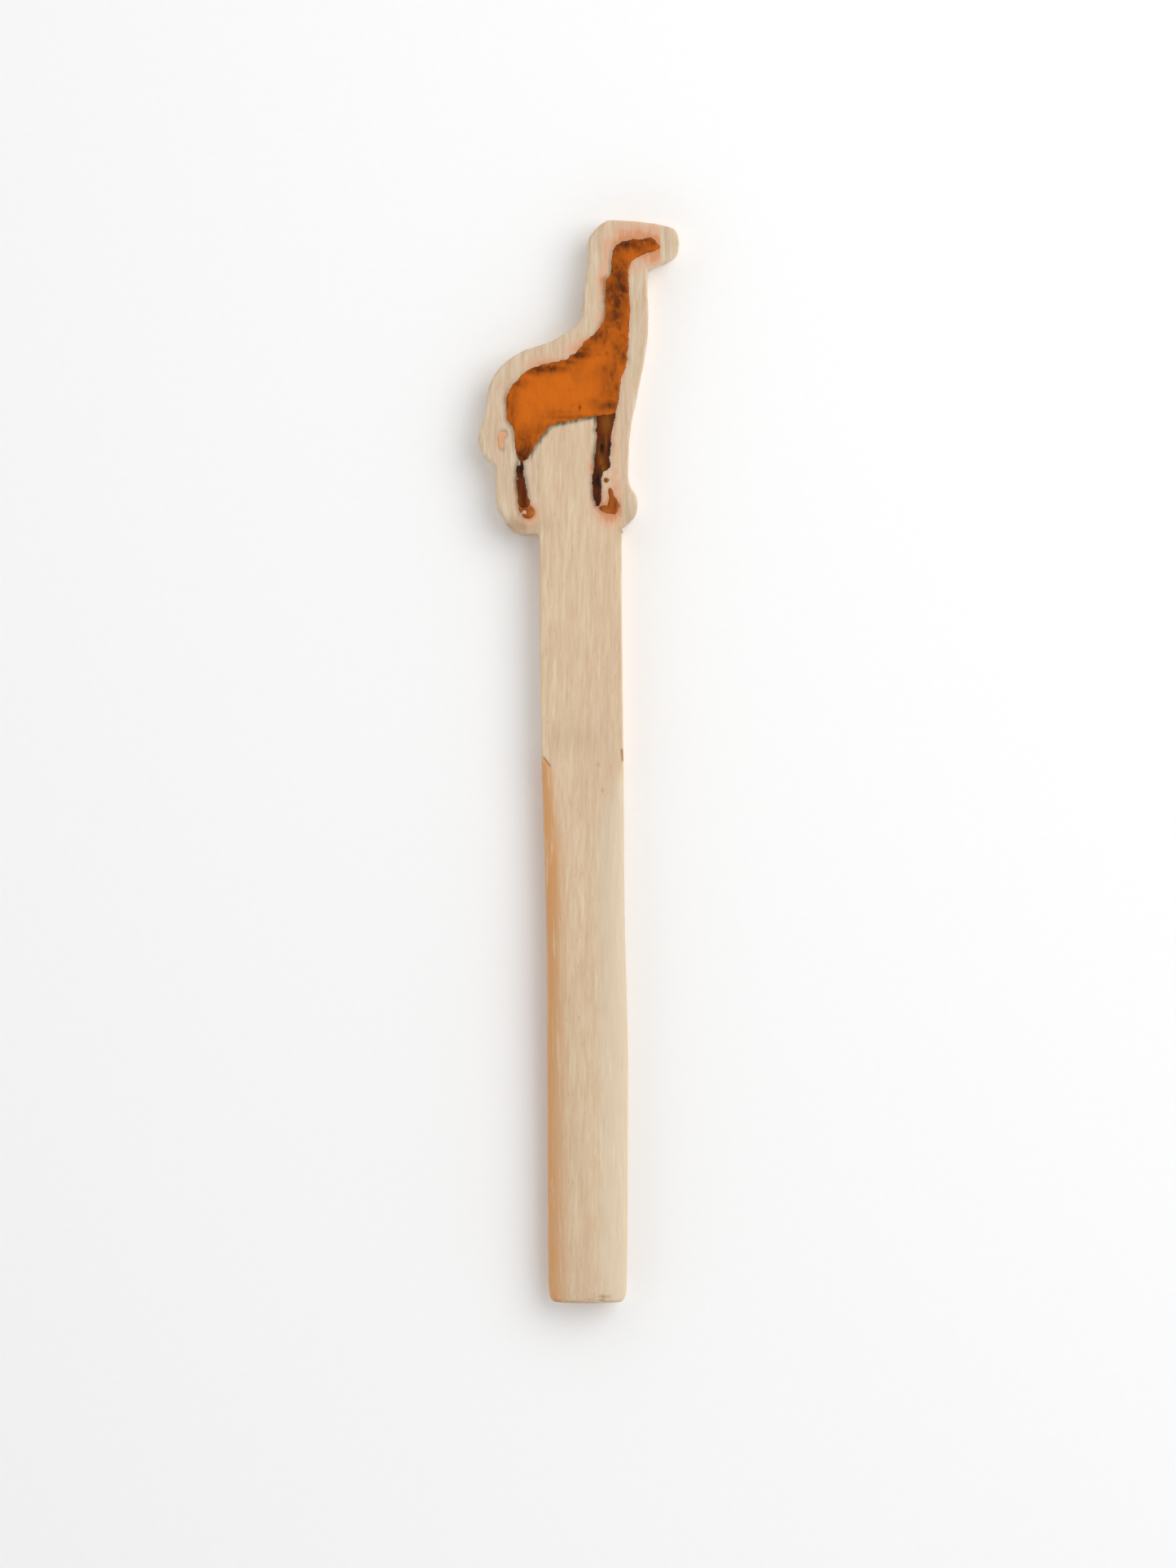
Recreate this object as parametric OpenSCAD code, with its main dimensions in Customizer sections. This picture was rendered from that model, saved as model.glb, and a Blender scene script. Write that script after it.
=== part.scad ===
// A giraffe on a stick: a fretted wooden plate, glued over the thinned end of a hand-shaped stick, with the
// figure painted on its front. The puppet lies on its back. +Z is its front, +Y runs from the grip to the head,
// and the origin is the middle of its outline, on the back.

/* [Stick] */
// Width of the flat part of the stick
stick_w = 10.1; // [9.4:0.1:10.8]
// Length from the plate's foot to the butt of the grip
stem_len = 94.7; // [88:0.1:120]
// Thickness of the flat part, which the plate shares
stick_t = 4; // [3.6:0.1:5]
// Length of the rounded grip
grip_len = 67; // [63:0.5:75]
// Thickness of the grip
grip_t = 5.2; // [5:0.1:7]
// How far the grip leans to the right of the flat part
lean = 0.85; // [0:0.05:1.5]

/* [Lap joint] */
// Length of the tongue that is let into the plate
tongue_len = 17.5; // [12:0.5:18]
// Thickness of the tongue
tongue_t = 2; // [1.5:0.1:2.5]
// Thickness of the glue behind the tongue
glue_t = 0.1; // [0.05:0.05:0.2]

/* [Paint] */
// Thickness of a coat of paint
paint_t = 0.12; // [0.08:0.01:0.2]

/* [Hidden] */

// The outlines below are drawn from the point where the stick's centreline meets the plate's foot.
plate_height = 38.5;
foot = [0.2, (stem_len - plate_height) / 2, 0];

wood_colour = [0.83, 0.73, 0.61];
grip_colour = [0.80, 0.69, 0.54];
glue_colour = [0.90, 0.86, 0.74];
orange = [0.82, 0.42, 0.12];
dark_brown = [0.37, 0.15, 0.03];
hoof_brown = [0.57, 0.27, 0.10];
tail_orange = [0.89, 0.62, 0.46];

arris = 0.25;           // sanding on the edges of the flat part
tongue_corner_r = 1;    // radius of the tongue's two top corners
curve_steps = 4;        // straight pieces between two points of an outline
corner_steps = 5;       // straight pieces across each rounded corner of the stick
grip_side = 0.15;       // half the upright side that the rounding leaves at the butt
grip_flat = 0.4;        // half the flat face that the rounding leaves at the butt
round_run = 48;         // length over which the grip's rounding grows to its full width
round_ease = 0.55;      // power that makes the rounding grow fast below the flat part, then slowly
crown_run = 30;         // length over which the grip reaches its full thickness
lean_start = 25;        // where the lean starts, from the butt
lean_run = 65;          // length that the lean is spread over
butt_run = 2;           // length of the butt's rounded edge
butt_depth = 0.5;       // depth of the butt's rounded edge
sink = 1;               // how far a cutter reaches past what it cuts

// Half the width of the stick, by distance from its butt.
half_widths = [
    [0, 3.9], [0.3, 4.35], [0.8, 4.65], [2, 4.8], [10, 4.9], [29, 4.97], [47, 4.8], [60, 4.95], [70, stick_w / 2],
    [stem_len + tongue_len, stick_w / 2]
];

// Distances from the butt at which the stick's section is drawn.
sections = concat(
    [0, 0.3, 0.8, 2, 5], [for (s = [10 : 7 : 52]) s], [grip_len - 10, grip_len - 6, grip_len - 3],
    [grip_len - 1, grip_len, 76, stem_len - 8, stem_len + tongue_len]
);

// The plate's edge, from the stick's left side round the rump, neck and head to its right side.
plate_edge = [
    [-stick_w / 2, -0.5], [-5.6, -0.1], [-7.4, -0.1], [-9, 0.9], [-9.6, 2.1], [-10.3, 3.3], [-10.5, 6], [-10.5, 8.1],
    [-11.1, 8.8], [-12.1, 9.8], [-12.6, 11.5], [-12.1, 13.5], [-11.6, 15.9], [-11.2, 18.3], [-9.6, 20.7],
    [-7.1, 22.4], [-5.5, 22.9], [-3.6, 23.6], [-1.9, 24.6], [-0.2, 26], [0.2, 27.4], [0.4, 30], [0.8, 32.6],
    [0.9, 35.2], [1.2, 36.6], [2.8, 38.2], [4, 38.5], [7, 38.3], [10.6, 37.7], [11.8, 37], [12.1, 35.6],
    [11.8, 34.4], [10.8, 33.6], [8.6, 32.6], [8.2, 31.6], [8.3, 25.6], [8, 22.4], [6.9, 16.8], [6.2, 13.4],
    [5.9, 10], [5.9, 6.3], [6.8, 4.6], [7, 3.4], [6.7, 2.2], [6, 1.4], [stick_w / 2, 0.7]
];

// Where the body, neck and head are painted, from the poll round the snout, throat, belly and rump.
body_edge = [
    [4.1, 35], [4.9, 35.7], [5.6, 36], [7.2, 36.1], [8.6, 36.3], [9.2, 35.9], [9.8, 35.1], [9, 34.6], [8, 34.3],
    [6.8, 33.7], [6.1, 33], [5.8, 32], [6, 29.5], [6.1, 27.5], [5.9, 24.3], [5.8, 22], [5.5, 20.4], [4.9, 18.4],
    [4.7, 16.3], [4.3, 15], [3.2, 14.6], [1.6, 14.4], [-1, 13.8], [-3.4, 13.3], [-4.3, 12.5], [-5.6, 10.9],
    [-6.3, 9.4], [-7.2, 8.8], [-7.9, 9.4], [-8.1, 11.2], [-8.3, 12.7], [-9, 14], [-9.1, 15.6], [-8.9, 17.3],
    [-7.7, 19], [-6, 20.3], [-3.6, 20.9], [-1.9, 21.3], [-0.3, 22.5], [0.6, 23.6], [1.9, 24.8], [2.8, 26],
    [3, 28], [3.1, 30.9], [3.7, 31.9], [3.8, 33.8]
];

fore_leg_edge = [
    [4.3, 15.4], [4.1, 13.4], [3.8, 12], [3.7, 10], [3.6, 8.3], [3.3, 7.7], [2.7, 7.3], [2.6, 6], [2.6, 5],
    [2.5, 3.9], [2.1, 3.3], [1.7, 3.8], [1.5, 5], [1.4, 6.7], [1.7, 8.3], [1.9, 11], [2, 13.4], [2.1, 15.2]
];

fore_hoof_edge = [
    [3.3, 5.3], [3.7, 5.6], [4.2, 4.5], [4.7, 3.6], [4.8, 3], [4.2, 2.4], [3.4, 2.4], [2.6, 2.7], [2.3, 3.2],
    [2.9, 3.4], [3.3, 3.4], [3.5, 4.1]
];

fetlock_edge = [[2.95, 6.8], [3.3, 6.8], [3.5, 6.4], [3.2, 6.1], [2.9, 6.3]];

hind_leg_edge = [
    [-7.2, 9.4], [-7, 8.5], [-6.9, 6.8], [-6.6, 5.3], [-6.3, 3.6], [-7, 3.3], [-7.7, 3.6], [-7.7, 5.3],
    [-7.9, 6.7], [-7.9, 7.8], [-7.7, 8.9]
];

hind_hoof_edge = [
    [-6.3, 4], [-6.1, 3.4], [-5.5, 2.7], [-5.9, 2], [-6.7, 1.8], [-7.2, 2.1], [-7.6, 2.8], [-7.8, 3.8], [-7, 4.2]
];

tail_edge = [
    [-10.1, 12.2], [-9.6, 12.5], [-9.2, 12.4], [-9.2, 11.9], [-9.5, 11.4], [-9.4, 10.9], [-9.6, 10.3],
    [-9.9, 10.3], [-10.2, 11]
];

// A point of the smooth curve through b and c, with a and d beside them.
function on_curve(a, b, c, d, t) =
    b + t * (c - a) / 2 + t * t * (2 * a - 5 * b + 4 * c - d) / 2 + t * t * t * (3 * b - a - 3 * c + d) / 2;

// The smooth closed curve through the points.
function closed_curve(p) = let (n = len(p)) [
    for (i = [0 : n - 1], k = [0 : curve_steps - 1])
        on_curve(p[(i + n - 1) % n], p[i], p[(i + 1) % n], p[(i + 2) % n], k / curve_steps)
];

// The smooth curve through the points, with its two ends left open.
function open_curve(p) = let (n = len(p)) concat(
    [
        for (i = [0 : n - 2], k = [0 : curve_steps - 1])
            on_curve(p[max(i - 1, 0)], p[i], p[i + 1], p[min(i + 2, n - 1)], k / curve_steps)
    ],
    [p[n - 1]]
);

function clamped(t) = min(max(t, 0), 1);
function eased(t) = let (c = clamped(t)) c * c * (3 - 2 * c);

// All of these go by s, the distance from the butt.
function centre_x(s) = lean * (1 - eased((s - lean_start) / lean_run));
function half_width(s) = lookup(s, half_widths);
function thickness(s) = stick_t + (grip_t - stick_t) * eased((grip_len - s) / crown_run);
function rounding(s) = pow(clamped((grip_len - s) / round_run), round_ease);
function round_w(s) = arris + (half_width(s) - grip_flat - arris) * rounding(s);
function round_h(s) = arris + (thickness(s) / 2 - grip_side - arris) * rounding(s);
function butt_round(s) = butt_depth * pow(clamped(1 - s / butt_run), 2);

// One quarter of the section: an elliptical corner, at the side and face that the signs give.
function corner(s, side, face) = let (
    low = butt_round(s),
    high = thickness(s) - butt_round(s),
    x = side * (half_width(s) - round_w(s)),
    z = face > 0 ? high - round_h(s) : low + round_h(s)
) [
    for (k = [0 : corner_steps])
        let (a = 90 * k / corner_steps)
        [centre_x(s) + x + side * round_w(s) * cos(a), s - stem_len, z + face * round_h(s) * sin(a)]
];

function backwards(p) = [for (i = [len(p) - 1 : -1 : 0]) p[i]];

function section(s) = concat(
    corner(s, 1, 1), backwards(corner(s, -1, 1)), corner(s, -1, -1), backwards(corner(s, 1, -1))
);

// The whole stick, at its full thickness up to the tongue's top end.
module stick_blank() {
    ring = 4 * (corner_steps + 1);
    last = len(sections) - 1;
    points = [for (s = sections) each section(s)];
    sides = [
        for (i = [0 : last - 1], k = [0 : ring - 1])
            let (next = (k + 1) % ring)
            [i * ring + k, i * ring + next, (i + 1) * ring + next, (i + 1) * ring + k]
    ];
    butt = [for (k = [ring - 1 : -1 : 0]) k];
    top = [for (k = [0 : ring - 1]) last * ring + k];
    polyhedron(points, concat([butt, top], sides), convexity = 4);
}

// The tongue's outline, which is also the recess's. Its foot is open.
module tongue_shape() {
    half = stick_w / 2;
    r = tongue_corner_r;
    difference() {
        translate([-half, 0]) square([stick_w, tongue_len]);
        for (side = [-1, 1]) difference() {
            translate([side * (half - r / 2), tongue_len - r / 2]) square(r, center = true);
            translate([side * (half - r), tongue_len - r]) circle(r = r, $fn = 32);
        }
    }
}

// The hand-shaped stick: a rounded grip, a flat part, and a tongue at the front of its top end.
module handle_stick() {
    color(grip_colour) translate(foot) difference() {
        stick_blank();
        translate([-stick_w, 0, -sink]) cube([2 * stick_w, tongue_len + sink, stick_t - tongue_t + sink]);
        difference() {
            translate([-stick_w, tongue_len / 2, 0]) cube([2 * stick_w, tongue_len, stick_t + sink]);
            translate([0, 0, -sink]) linear_extrude(stick_t + 3 * sink) tongue_shape();
        }
    }
}

// The fretted plate, with an open recess in its front for the tongue and the glue behind it.
module giraffe_plate() {
    floor_z = stick_t - tongue_t - glue_t;
    outline = concat(open_curve(plate_edge), [[stick_w / 2, 0], [-stick_w / 2, 0]]);
    color(wood_colour) translate(foot) difference() {
        linear_extrude(stick_t) polygon(outline);
        translate([0, 0, floor_z]) linear_extrude(tongue_t + glue_t + sink) tongue_shape();
    }
}

// The film of glue between the back of the tongue and the floor of the recess.
module lap_glue() {
    color(glue_colour) translate(foot + [0, 0, stick_t - tongue_t - glue_t]) linear_extrude(glue_t) tongue_shape();
}

// One coat of paint on the front of the plate.
module coat(edge) {
    translate(foot + [0, 0, stick_t]) linear_extrude(paint_t) polygon(closed_curve(edge));
}

// A hole for a coat's neighbour, right through the coat.
module coat_cutter(edge) {
    translate(foot + [0, 0, stick_t - sink]) linear_extrude(paint_t + 2 * sink) polygon(closed_curve(edge));
}

module body_paint() {
    color(orange) coat(body_edge);
}

module fore_leg_paint() {
    color(dark_brown) difference() {
        coat(fore_leg_edge);
        coat_cutter(body_edge);
    }
}

// The fore hoof, with the small dab above it.
module fore_hoof_paint() {
    color(hoof_brown) {
        difference() {
            coat(fore_hoof_edge);
            coat_cutter(fore_leg_edge);
        }
        coat(fetlock_edge);
    }
}

module hind_leg_paint() {
    color(dark_brown) difference() {
        coat(hind_leg_edge);
        coat_cutter(body_edge);
    }
}

module hind_hoof_paint() {
    color(hoof_brown) difference() {
        coat(hind_hoof_edge);
        coat_cutter(hind_leg_edge);
    }
}

module tail_paint() {
    color(tail_orange) coat(tail_edge);
}

handle_stick();
giraffe_plate();
lap_glue();
body_paint();
fore_leg_paint();
fore_hoof_paint();
hind_leg_paint();
hind_hoof_paint();
tail_paint();
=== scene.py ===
# %% [markdown]
# # A painted giraffe on a stick
#
# This lesson builds a small hand puppet out of bare wood and paint. A flat giraffe is fretted out of thin
# basswood, a hand-shaped stick is let into its foot and glued, and the figure is painted on the front.
#
# The design comes from a CAD frame, which says how large each part is and where it lies. Blender's work is
# the looks, so every piece here is built on the frame's own measures. The puppet lies on its back: +Z is
# its painted front and +Y runs from the grip to the head.

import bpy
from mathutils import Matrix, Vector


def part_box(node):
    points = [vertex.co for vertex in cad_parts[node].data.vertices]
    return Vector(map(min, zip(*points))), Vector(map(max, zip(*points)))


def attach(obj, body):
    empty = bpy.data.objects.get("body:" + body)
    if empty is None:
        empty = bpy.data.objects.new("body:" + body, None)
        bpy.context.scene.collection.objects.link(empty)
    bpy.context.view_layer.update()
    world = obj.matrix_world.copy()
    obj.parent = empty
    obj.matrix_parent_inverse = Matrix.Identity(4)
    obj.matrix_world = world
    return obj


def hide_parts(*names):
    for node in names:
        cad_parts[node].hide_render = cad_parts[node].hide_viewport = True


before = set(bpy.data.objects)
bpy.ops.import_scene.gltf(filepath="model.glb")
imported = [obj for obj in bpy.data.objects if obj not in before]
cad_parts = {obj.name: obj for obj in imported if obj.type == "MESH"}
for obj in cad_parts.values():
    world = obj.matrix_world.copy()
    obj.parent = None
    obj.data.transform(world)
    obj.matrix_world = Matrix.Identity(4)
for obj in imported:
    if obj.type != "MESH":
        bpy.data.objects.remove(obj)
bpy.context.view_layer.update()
print("frame nodes:", ", ".join(sorted(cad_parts)))

# %% [markdown]
# Blender's own modules do the rest: `bmesh` for modelling, and from `mathutils` a noise field, a tree that
# finds the nearest of many points, and a tree that tells where a ray meets a mesh.

# %% Import Blender's modules
import math

import bmesh
import bpy
from mathutils import Matrix, Vector, noise
from mathutils.bvhtree import BVHTree
from mathutils.kdtree import KDTree

MM = 0.001  # one millimetre in Blender's metres

# %% [markdown]
# The frame's boxes give every driving size. The film of glue is as wide as the stick and starts at the
# plate's foot, so it also says where the stick enters the plate, which is where the drawing of the giraffe
# starts.

# %% Measure the frame
stick_low, stick_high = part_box("handle_stick")
plate_low, plate_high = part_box("giraffe_plate")
glue_low, glue_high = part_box("lap_glue")

FRONT = plate_high.z
FOOT = Vector(((glue_low.x + glue_high.x) / 2, glue_low.y, 0.0))
STICK_WIDTH = glue_high.x - glue_low.x
BUTT = stick_low.y
print(f"stick {STICK_WIDTH / MM:.1f} mm wide, {(FOOT.y - BUTT) / MM:.1f} mm from the plate to its butt")
print(f"plate {(plate_high.y - plate_low.y) / MM:.1f} mm high and {FRONT / MM:.1f} mm thick")


# %% [markdown]
# ## Small helpers
#
# Four helpers serve the whole lesson. `eased` turns a straight rise into a soft one, `made` turns a bmesh
# into an object whose place is in its mesh, and `mark` stores a number on every point of a mesh. The
# materials read those numbers later, so a stain or a dab can follow the real shape. `drawn` gives a place
# on the front in millimetres, measured from where the stick enters the plate.

# %% Helpers for shapes
def eased(t):
    """A soft rise from 0 to 1 as t goes from 0 to 1."""
    t = min(max(t, 0.0), 1.0)
    return t * t * (3 - 2 * t)


def made(bm, name):
    """A smooth-shaded object from a bmesh, which is then freed."""
    mesh = bpy.data.meshes.new(name)
    bm.to_mesh(mesh)
    bm.free()
    mesh.shade_smooth()
    piece = bpy.data.objects.new(name, mesh)
    bpy.context.scene.collection.objects.link(piece)
    return piece


def mark(piece, name, rule):
    """Stores rule(place) on every point of the piece, under the name."""
    values = [rule(v.co) for v in piece.data.vertices]
    piece.data.attributes.new(name, "FLOAT", "POINT").data.foreach_set("value", values)
    print(f"{piece.name}: {name} runs from {min(values):.2f} to {max(values):.2f}")


def drawn(x, y):
    """A place on the front, in millimetres to the right of and above where the stick enters the plate."""
    return Vector((FOOT.x + x * MM, FOOT.y + y * MM, FRONT))


# %% [markdown]
# A CAD node arrives as loose triangles. To work from its shape, a copy is welded and its flat faces are made
# whole again. The node itself stays as it is.

# %% Helper that copies a CAD node
WELD = 0.001 * MM


def cad_copy(node):
    """A welded bmesh of the CAD node, with one face for each flat side."""
    bm = bmesh.new()
    bm.from_mesh(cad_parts[node].data)
    bmesh.ops.remove_doubles(bm, verts=bm.verts, dist=WELD)
    bmesh.ops.dissolve_limit(bm, angle_limit=math.radians(0.5), verts=bm.verts, edges=bm.edges)
    bm.normal_update()
    return bm


# %% [markdown]
# ## Where the paint ends
#
# Two things depend on the outline of the painted figure: the coats of paint, and the stain that thinned paint
# leaves in the wood around them. So the outline of each coat is read from its CAD node first, as points set
# closely along its upper edge.

# %% Read the outlines of the coats
COATS = ["body_paint", "fore_leg_paint", "fore_hoof_paint", "hind_leg_paint", "hind_hoof_paint", "tail_paint"]
OUTLINE_STEP = 0.05 * MM


def outline_of(node):
    """Points along the upper edge of a coat."""
    bm = cad_copy(node)
    points = []
    for edge in bm.edges:
        faces = edge.link_faces
        turns = len(faces) == 2 and abs(faces[0].normal.z - faces[1].normal.z) > 0.5
        if turns and edge.verts[0].co.z > FRONT:
            a, b = (v.co for v in edge.verts)
            count = max(1, round((b - a).length / OUTLINE_STEP))
            points += [a.lerp(b, k / count) for k in range(count)]
    bm.free()
    return points


def tree_of(points, across=1.0, along=1.0):
    """A tree that finds the nearest point, with distances across and along the grain weighed differently."""
    tree = KDTree(len(points))
    for index, p in enumerate(points):
        tree.insert((p.x * across, p.y * along, 0.0), index)
    tree.balance()
    return tree


outlines = {node: outline_of(node) for node in COATS}
for node, points in outlines.items():
    print(f"{node}: outline of {len(points)} points")

# %% [markdown]
# A brush never leaves a smooth outline, so the outlines wander by more than a tenth of a millimetre. The
# same field of noise moves every coat, and coats that touch still touch. Where two coats meet, the paints
# were blended wet, so those stretches of outline don't count as an edge of the painted figure. Blender's
# vector noise starts from the clock unless it is given a seed, so it gets one here, and every run gives
# the same outlines.

# %% Let the outlines wander
RAGGED = 0.18 * MM  # how far the outline wanders
COARSE = 0.8 * MM  # size of its wide bends
FINE = 0.25 * MM  # size of its small nicks
TOUCHING = 0.1 * MM  # coats closer than this meet
SEED = 11
noise.seed_set(SEED)


def ragged(place):
    """A small sideways shift that makes an outline uneven."""
    coarse = noise.noise_vector(Vector((place.x, place.y, 0.0)) / COARSE)
    fine = noise.noise_vector(Vector((place.x, place.y, 7.0)) / FINE)
    return Vector((coarse.x + 0.45 * fine.x, coarse.y + 0.45 * fine.y, 0.0)) * RAGGED


def figure_edge():
    """The outline points that no other coat touches, where the brush left them."""
    free = []
    for node in COATS:
        others = tree_of([p for other in COATS if other != node for p in outlines[other]])
        free += [p for p in outlines[node] if others.find((p.x, p.y, 0.0))[2] > TOUCHING]
    return free


free_outline = figure_edge()
free_tree = tree_of(free_outline)
painted_edge = [p + ragged(p) for p in free_outline]
print(f"edge of the painted figure: {len(painted_edge)} points")

# %% [markdown]
# ## The stick
#
# The real stick is a strip of basswood. Its upper part is flat, and its lower part was rounded by knife and
# sandpaper into a grip. A round-over that grows along a strip can't be made with one bevel, so the stick is
# made as a sleeve: a grid of faces is rolled up, and each point is sent to its place in the stick's
# section.
#
# The CAD stick has a ring of points at each of its own sections. Seven measures are read from each ring,
# and a smooth curve through them gives every section in between.

# %% Read the stick's sections from the frame
def ring_measures():
    """The rings of the CAD stick below the plate, each as its place along the stick and seven measures.

    These are its middle, half width, low, top, half the flat's width, and the low and high ends of its side.
    """
    rings = {}
    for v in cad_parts["handle_stick"].data.vertices:
        if v.co.y < FOOT.y - MM:
            rings.setdefault(round(v.co.y / MM, 2), []).append(v.co)
    touch = 0.002 * MM  # points closer than this to the farthest one lie on the same flat
    measures = []
    for _, ring in sorted(rings.items()):
        left, right = min(p.x for p in ring), max(p.x for p in ring)
        low, top = min(p.z for p in ring), max(p.z for p in ring)
        middle = (left + right) / 2
        flat = max(abs(p.x - middle) for p in ring if top - p.z < touch)
        sides = [p.z for p in ring if right - p.x < touch]
        measures.append([ring[0].y, middle, (right - left) / 2, low, top, flat, min(sides), max(sides)])
    return measures


rings = ring_measures()
rings.append([stick_high.y] + rings[-1][1:])
print(f"{len(rings)} rings, from y {rings[0][0] / MM:.1f} to {rings[-1][0] / MM:.1f} mm")


def section_at(y):
    """The measures at y, on a smooth curve through the rings."""
    last = len(rings) - 1
    i = max([k for k in range(last) if rings[k][0] <= y] or [0])
    before, a, b, after = rings[max(i - 1, 0)], rings[i], rings[i + 1], rings[min(i + 2, last)]
    span = b[0] - a[0]
    t = min(max((y - a[0]) / span, 0.0), 1.0)
    found = []
    for k in range(1, len(a)):
        leave = span * (b[k] - before[k]) / (b[0] - before[0])
        arrive = span * (after[k] - a[k]) / (after[0] - a[0])
        found.append(
            (2 * t**3 - 3 * t**2 + 1) * a[k] + (t**3 - 2 * t**2 + t) * leave
            + (3 * t**2 - 2 * t**3) * b[k] + (t**3 - t**2) * arrive
        )
    return found


# %% [markdown]
# A column of the sleeve is a fixed spot on the section. It says how far across the flat and the rounded
# part the spot lies, so the same columns fit the thin flat part and the fat grip. The four corners get more
# columns than the flats, because that is where the surface turns.

# %% Lay out the sleeve's columns
FRONT_COLUMNS = 76
BACK_COLUMNS = 20
SIDE_COLUMNS = 5
CORNER_COLUMNS = 9


def sleeve_columns():
    """Spots round the section, as shares of the flat and of the rounding, sideways and upwards."""
    columns = []
    for side, face in ((1, 1), (-1, 1), (-1, -1), (1, -1)):
        turn = [90 * k / CORNER_COLUMNS for k in range(CORNER_COLUMNS + 1)]
        if side != face:
            turn.reverse()
        corner = [
            (side, side * math.cos(math.radians(a)), face, face * math.sin(math.radians(a))) for a in turn
        ]
        flat_count = {(1, 1): FRONT_COLUMNS, (-1, -1): BACK_COLUMNS}.get((side, face), SIDE_COLUMNS)
        columns += corner
        if (side, face) in ((1, 1), (-1, -1)):
            columns += [(side * (1 - 2 * k / flat_count), 0.0, face, face) for k in range(1, flat_count)]
        else:
            columns += [(side, side, face * (1 - 2 * k / flat_count), 0.0) for k in range(1, flat_count)]
    return columns + columns[:1]


columns = sleeve_columns()
print(f"{len(columns)} columns round the stick")

# %% [markdown]
# A row of the sleeve is a place along the stick. The rows lie close together at the butt, which is worn
# round, and at the shoulder, where the knife left its marks. At the butt the rows shrink to a point and so
# close the end. At the plate's foot the section steps in to the tongue, which is the front half of the
# stick.

# %% Lay out the sleeve's rows
SHOULDER = BUTT + 67 * MM  # where the grip's rounding starts
TONGUE_LOW = glue_high.z
DOME = 0.15 * MM  # how far the sanded butt bulges
STEP = 0.02 * MM  # length of the step from the stick to its tongue
TONGUE_ROUND = 1 * MM  # radius of the tongue's two corners, as in the frame


def evenly(start, stop, step):
    """Places from start up to stop, about a step apart."""
    count = max(1, round((stop - start) / step))
    return [start + (stop - start) * k / count for k in range(count)]


rows = [(BUTT + DOME * (k / 8) ** 3, k / 8) for k in range(8)]
rows += [(y, 1.0) for y in evenly(BUTT + DOME, BUTT + 2 * MM, 0.12 * MM)]
rows += [(y, 1.0) for y in evenly(BUTT + 2 * MM, SHOULDER - 4 * MM, 0.4 * MM)]
rows += [(y, 1.0) for y in evenly(SHOULDER - 4 * MM, SHOULDER + 3 * MM, 0.12 * MM)]
rows += [(y, 1.0) for y in evenly(SHOULDER + 3 * MM, FOOT.y - STEP, 0.3 * MM)]
rows += [(y, 1.0) for y in evenly(FOOT.y - STEP, FOOT.y + STEP, STEP)]
rows += [(y, 1.0) for y in evenly(FOOT.y + STEP, stick_high.y - TONGUE_ROUND, 0.13 * MM)]
rows += [(stick_high.y - TONGUE_ROUND * (1 - math.sin(math.radians(7.5 * k))), 1.0) for k in range(13)]
rows += [(stick_high.y, 0.0)]
print(f"{len(rows)} rows along the stick")

# %% [markdown]
# Three things make the stick look worked by hand: long shallow facets left by the knife on the grip, two
# small cuts at the shoulder where the rounding was stopped, and crisp edges on the flat part. In the recess
# the tongue's edges are nearly sharp, so only a hairline shows where the two woods meet.

# %% Shape the stick
FACET_DEPTH = 0.07 * MM
TONGUE_ARRIS = 0.04 * MM
FACET_SIZE = (3.5 * MM, 17 * MM, 3 * MM)
CUT_DEPTH = 0.07 * MM
# Each stop cut: its place on the front, its length, its lean in degrees from the stick's line, and its width.
STOP_CUTS = [
    {"at": drawn(-4.15, -28.15), "long": 1.9 * MM, "lean": 35, "wide": 0.17 * MM},
    {"at": drawn(5.1, -27.3), "long": 2.0 * MM, "lean": 6, "wide": 0.22 * MM},
]
RUNOUT = 1.5 * MM  # how far below the plate's foot the flat part's edges turn sharp


def cut_depth(place):
    """How deep the stop cuts go at this place, as a share of their full depth."""
    deepest = 0.0
    for cut in STOP_CUTS:
        offset = (place - cut["at"]).to_2d()
        offset.rotate(Matrix.Rotation(math.radians(-cut["lean"]), 2))
        ends = eased((cut["long"] / 2 - abs(offset.y)) / (0.4 * MM))
        deepest = max(deepest, ends * math.exp(-((offset.x / cut["wide"]) ** 2)))
    return deepest


def stick_point(column, row):
    """The place of one point of the sleeve."""
    y, shrink = row
    flat_x, round_x, flat_z, round_z = column
    middle, half, low, top, flat, side_low, side_high = section_at(y)
    runout = eased((y - FOOT.y) / RUNOUT + 1)
    flat += runout * (half - TONGUE_ARRIS - flat)
    side_low += runout * (low + TONGUE_ARRIS - side_low)
    side_high += runout * (top - TONGUE_ARRIS - side_high)
    if y > FOOT.y:
        rise = max(0.0, y - (stick_high.y - TONGUE_ROUND))
        half -= TONGUE_ROUND - math.sqrt(max(0.0, TONGUE_ROUND**2 - rise**2))
        flat = half - TONGUE_ARRIS
        low, side_low, side_high = TONGUE_LOW, TONGUE_LOW + TONGUE_ARRIS, top - TONGUE_ARRIS
    centre = (low + top) / 2
    upright = (side_high - side_low) / 2
    x = flat_x * flat + round_x * (half - flat)
    z = flat_z * upright + round_z * ((top - low) / 2 - upright)
    place = Vector((middle + x * shrink, y, centre + z * shrink))
    worked = eased((SHOULDER - y) / (6 * MM)) * eased((y - BUTT) / (2 * MM))
    out = Vector((x / half, 0.0, z / ((top - low) / 2)))
    wide, long, deep = FACET_SIZE
    facet = noise.noise(Vector((place.x / wide, y / long, place.z / deep)))
    place += out * (facet * FACET_DEPTH * worked)
    place.z = max(place.z, 0.0)
    if place.z > centre:
        place.z -= CUT_DEPTH * cut_depth(place)
    return place


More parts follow.
